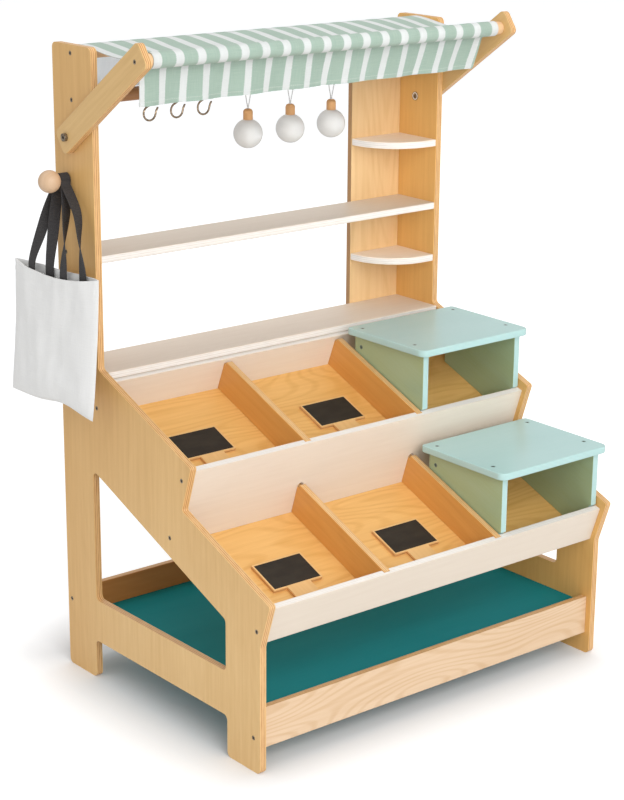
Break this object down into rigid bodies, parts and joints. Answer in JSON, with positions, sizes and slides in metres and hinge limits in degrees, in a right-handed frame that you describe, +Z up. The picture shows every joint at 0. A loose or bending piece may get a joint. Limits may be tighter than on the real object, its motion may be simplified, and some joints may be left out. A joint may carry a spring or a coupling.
{
  "type": "toy market stall",
  "caption": "Free-standing plywood play market stall with stepped sloping trays, shelves, a swing-up striped canopy, hooks, hanging play lights and lift-out display podiums.",
  "frame": {"origin": "on the floor under the middle of the object's bounding box", "axes": "+X to the right seen from the front, front towards -Y, +Z up"},
  "size_m": [0.8098, 0.6461, 1.0876],
  "materials": {
    "birch_ply": "satin lacquered birch plywood",
    "peach_ply": "satin lacquered birch plywood, paler",
    "golden_ply": "satin lacquered golden plywood",
    "whitewashed_ply": "whitewashed plywood, satin",
    "teal_paint": "satin paint on board",
    "turned_wood": "turned hardwood, oiled",
    "brown_dowel": "stained hardwood dowel",
    "antique_brass": "antique plated wire",
    "bright_brass": "turned brass",
    "dark_steel": "black zinc plated",
    "striped_cotton": "woven cotton, sage and white stripes",
    "white_paint": "matte white paint on turned wood",
    "grey_cord": "twisted thin cord",
    "sign_ply": "thin plywood",
    "chalkboard": "matte chalkboard paint",
    "mint_paint": "satin mint paint on board",
    "painted_steel": "screws painted over",
    "bag_canvas": "unprinted off-white cotton canvas",
    "black_webbing": "woven cotton webbing"
  },
  "bodies": {
    "stall": {"side_panel_left": "birch_ply", "side_panel_right": "birch_ply", "upper_tray_base": "golden_ply", "lower_tray_base": "golden_ply", "upper_back_board": "whitewashed_ply", "upper_front_board": "whitewashed_ply", "lower_front_board": "whitewashed_ply", "upper_divider_1": "golden_ply", "upper_divider_2": "golden_ply", "lower_divider_1": "golden_ply", "lower_divider_2": "golden_ply", "counter_shelf": "whitewashed_ply", "mid_shelf": "whitewashed_ply", "tower_back_panel": "birch_ply", "corner_shelf_upper": "whitewashed_ply", "corner_shelf_lower": "whitewashed_ply", "bottom_shelf": "teal_paint", "bottom_front_rail": "peach_ply", "bottom_back_rail": "birch_ply", "back_dowel": "turned_wood", "hook_rail": "brown_dowel", "cup_hooks": "antique_brass", "bag_peg": "turned_wood", "frame_screws": "dark_steel", "pivot_bolts": "dark_steel", "pivot_inserts": "bright_brass", "canopy_roof": "striped_cotton", "rear_valance": "striped_cotton"},
    "awning": {"awning_arm_left": "birch_ply", "awning_arm_right": "birch_ply", "front_dowel": "turned_wood", "dowel_screws": "dark_steel"},
    "front_flap": {"front_valance": "striped_cotton"},
    "light_1": {"bulb_1": "white_paint", "bulb_neck_1": "turned_wood", "bulb_cord_1": "grey_cord"},
    "light_2": {"bulb_2": "white_paint", "bulb_neck_2": "turned_wood", "bulb_cord_2": "grey_cord"},
    "light_3": {"bulb_3": "white_paint", "bulb_neck_3": "turned_wood", "bulb_cord_3": "grey_cord"},
    "upper_price_1": {"upper_sign_1": "sign_ply", "upper_chalk_1": "chalkboard"},
    "upper_price_2": {"upper_sign_2": "sign_ply", "upper_chalk_2": "chalkboard"},
    "upper_podium": {"upper_podium_top": "mint_paint", "upper_podium_sides": "mint_paint", "upper_podium_batten": "mint_paint", "upper_podium_screws": "painted_steel"},
    "lower_price_1": {"lower_sign_1": "sign_ply", "lower_chalk_1": "chalkboard"},
    "lower_price_2": {"lower_sign_2": "sign_ply", "lower_chalk_2": "chalkboard"},
    "lower_podium": {"lower_podium_top": "mint_paint", "lower_podium_sides": "mint_paint", "lower_podium_batten": "mint_paint", "lower_podium_screws": "painted_steel"},
    "bag": {"bag_body": "bag_canvas", "bag_straps": "black_webbing"}
  },
  "joints": [
    {"name": "awning_swing", "type": "hinge", "parent": "stall", "child": "awning", "pos_m": [0.01725, 0.18306, 0.921], "axis": [-1, 0, 0], "range_deg": [0, 50], "deforming": ["canopy_roof"]},
    {"name": "flap_hang", "type": "hinge", "parent": "awning", "child": "front_flap", "pos_m": [0.01725, -0.01305, 1.05934], "axis": [-1, 0, 0], "range_deg": [-50, 0]},
    {"name": "light_1_swing", "type": "hinge", "parent": "stall", "child": "light_1", "pos_m": [-0.00375, 0.18306, 0.9785], "axis": [1, 0, 0], "range_deg": [-35, 35]},
    {"name": "light_2_swing", "type": "hinge", "parent": "stall", "child": "light_2", "pos_m": [0.08725, 0.18306, 0.9785], "axis": [1, 0, 0], "range_deg": [-35, 35]},
    {"name": "light_3_swing", "type": "hinge", "parent": "stall", "child": "light_3", "pos_m": [0.17825, 0.18306, 0.9785], "axis": [1, 0, 0], "range_deg": [-35, 35]},
    {"name": "upper_price_1_lift", "type": "slide", "parent": "stall", "child": "upper_price_1", "axis": [0, -0.309, 0.9511], "range_m": [0, 0.12]},
    {"name": "upper_price_2_lift", "type": "slide", "parent": "stall", "child": "upper_price_2", "axis": [0, -0.309, 0.9511], "range_m": [0, 0.12]},
    {"name": "upper_podium_lift", "type": "slide", "parent": "stall", "child": "upper_podium", "axis": [0, -0.309, 0.9511], "range_m": [0, 0.2]},
    {"name": "lower_price_1_lift", "type": "slide", "parent": "stall", "child": "lower_price_1", "axis": [0, -0.309, 0.9511], "range_m": [0, 0.12]},
    {"name": "lower_price_2_lift", "type": "slide", "parent": "stall", "child": "lower_price_2", "axis": [0, -0.309, 0.9511], "range_m": [0, 0.12]},
    {"name": "lower_podium_lift", "type": "slide", "parent": "stall", "child": "lower_podium", "axis": [0, -0.309, 0.9511], "range_m": [0, 0.2]},
    {"name": "bag_swing", "type": "hinge", "parent": "stall", "child": "bag", "pos_m": [-0.36275, 0.20056, 0.85], "axis": [1, 0, 0], "range_deg": [-30, 30]}
  ],
  "couplings": [
    {"joint": "flap_hang", "follows": "awning_swing", "ratio": -1}
  ]
}
